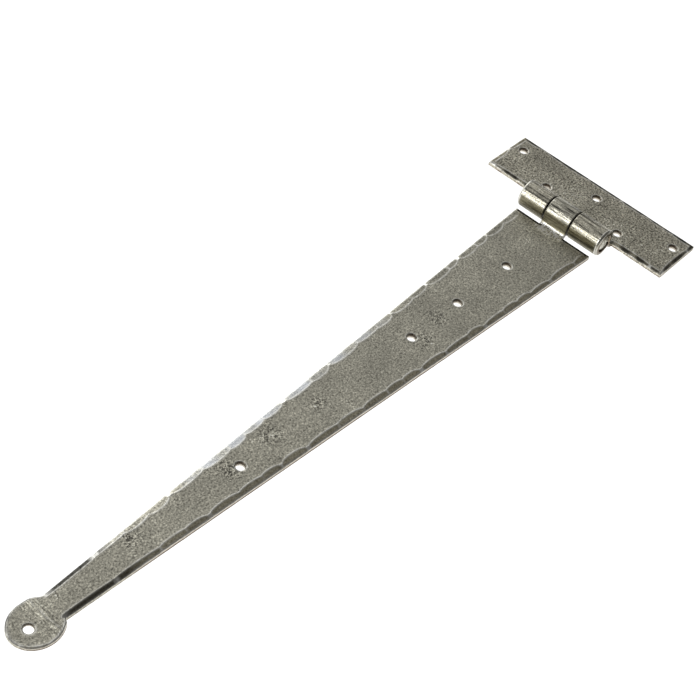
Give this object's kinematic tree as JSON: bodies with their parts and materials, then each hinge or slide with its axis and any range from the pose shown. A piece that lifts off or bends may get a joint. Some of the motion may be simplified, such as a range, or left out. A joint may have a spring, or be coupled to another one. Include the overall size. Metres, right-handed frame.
{
  "type": "t hinge",
  "caption": "Heavy T hinge with a rectangular cross plate, a long tapering strap ending in a round penny tip, and a rolled barrel on a plain pin.",
  "frame": {"origin": "centre of the cross plate's back face, the face that lies on the door frame", "axes": "+X along the strap towards its tip, +Y along the hinge pin, +Z out of the faces that show; the hinge lies open and flat"},
  "size_m": [0.4885, 0.13, 0.0175],
  "materials": {
    "plate_steel": "antiqued dark pewter, mottled, with burnished bevels",
    "strap_steel": "antiqued pewter, mottled, with hammered edges",
    "pin_steel": "plain drawn rod, lightly aged"
  },
  "bodies": {
    "cross_plate": {"cross_plate": "plate_steel", "hinge_pin": "pin_steel"},
    "strap": {"strap": "strap_steel"}
  },
  "joints": [
    {"name": "strap_swing", "type": "hinge", "parent": "cross_plate", "child": "strap", "pos_m": [0.0313, 0, 0.00875], "axis": [0, -1, 0], "range_deg": [-90, 180]}
  ]
}
